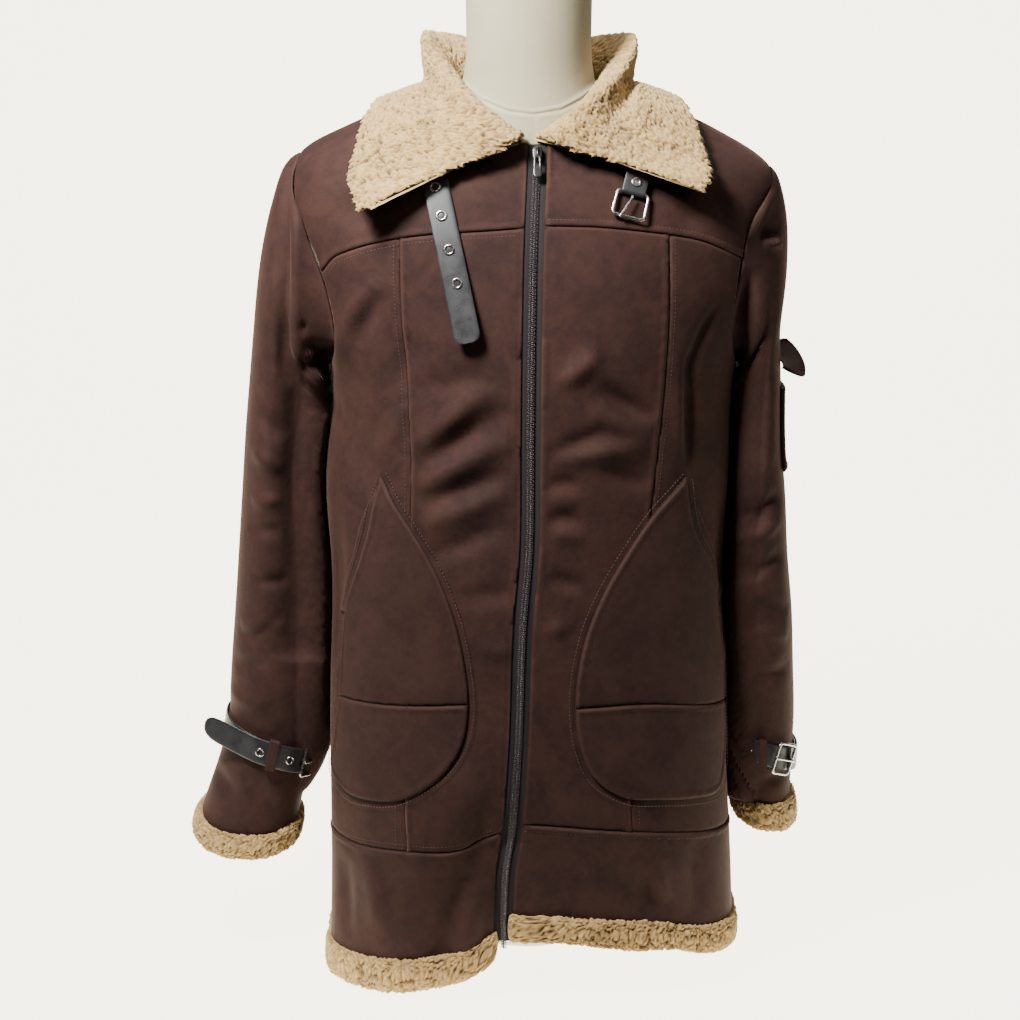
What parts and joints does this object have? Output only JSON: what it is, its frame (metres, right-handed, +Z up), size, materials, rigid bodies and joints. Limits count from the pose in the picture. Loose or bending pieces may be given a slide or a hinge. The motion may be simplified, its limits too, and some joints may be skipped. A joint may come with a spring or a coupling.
{
  "type": "shearling aviator jacket on a dress form",
  "caption": "Thigh-length suede jacket with fleece collar, cuffs and hem, front zip, patch pockets, neck and cuff straps with buckles, filled out on a limbless dress form on a pole and base",
  "frame": {"origin": "centre of the underside of the form's round base, on the floor", "axes": "+Z up, the jacket faces -Y, +X is the wearer's left"},
  "size_m": [0.6189, 0.3099, 0.961],
  "materials": {
    "suede": "dark brown brushed suede, bonded to fleece",
    "pocket_suede": "dark brown brushed suede, nap lying the other way",
    "fleece": "curly sherpa fleece pile, camel",
    "zip_tape": "woven polyester zip tape",
    "zip_coil": "nylon coil",
    "leather": "smooth black leather, semi-gloss",
    "metal": "nickel-plated zinc alloy",
    "canvas": "stretched cotton canvas",
    "stand_steel": "pale satin powder coat"
  },
  "bodies": {
    "root": {"arm_pocket": "pocket_suede", "arm_pocket_flap": "suede", "arm_pocket_snap": "metal", "back_panel": "suede", "buckle_rivet": "metal", "buckle_strap": "leather", "collar": "fleece", "cuff_belt_left": "leather", "cuff_belt_right": "leather", "cuff_buckle_left": "metal", "cuff_buckle_right": "metal", "cuff_eyelet_left_1": "metal", "cuff_eyelet_right_1": "metal", "cuff_eyelet_right_2": "metal", "cuff_keeper_left": "suede", "cuff_keeper_right": "suede", "cuff_prong_left": "metal", "cuff_prong_right": "metal", "cuff_tail_left": "leather", "cuff_tail_right": "leather", "cuff_trim_left": "fleece", "cuff_trim_right": "fleece", "form_base": "stand_steel", "form_neck_cap": "stand_steel", "form_pole": "stand_steel", "form_torso": "canvas", "front_centre_left": "suede", "front_centre_right": "suede", "front_side_left": "suede", "front_side_right": "suede", "front_yoke_left": "suede", "front_yoke_right": "suede", "hem_band_back": "suede", "hem_band_left": "suede", "hem_band_right": "suede", "hem_trim_back": "fleece", "hem_trim_left": "fleece", "hem_trim_right": "fleece", "neck_eyelet_1": "metal", "neck_eyelet_2": "metal", "neck_eyelet_3": "metal", "neck_eyelet_4": "metal", "neck_strap": "leather", "pocket_facing_left": "suede", "pocket_facing_right": "suede", "pocket_lower_left": "pocket_suede", "pocket_lower_right": "pocket_suede", "pocket_upper_left": "pocket_suede", "pocket_upper_right": "pocket_suede", "sleeve_left": "suede", "sleeve_right": "suede", "zip_coil": "zip_coil", "zip_slider": "metal", "zip_tape_left": "zip_tape", "zip_tape_right": "zip_tape"},
    "zip_tab": {"zip_pull": "metal"},
    "buckle": {"neck_buckle_frame": "metal"},
    "prong": {"neck_buckle_prong": "metal"}
  },
  "joints": [
    {"name": "zip_tab_swing", "type": "hinge", "parent": "root", "child": "zip_tab", "pos_m": [0.00752, -0.12554, 0.80168], "axis": [-1, -0.003, 0.0015], "range_deg": [0, 110]},
    {"name": "buckle_swing", "type": "hinge", "parent": "root", "child": "buckle", "pos_m": [0.09534, -0.13547, 0.76858], "axis": [-0.9678, 0.0183, 0.2509], "range_deg": [0, 55]},
    {"name": "prong_swing", "type": "hinge", "parent": "buckle", "child": "prong", "pos_m": [0.09534, -0.13547, 0.76858], "axis": [-0.9678, 0.0183, 0.2509], "range_deg": [0, 30]}
  ]
}
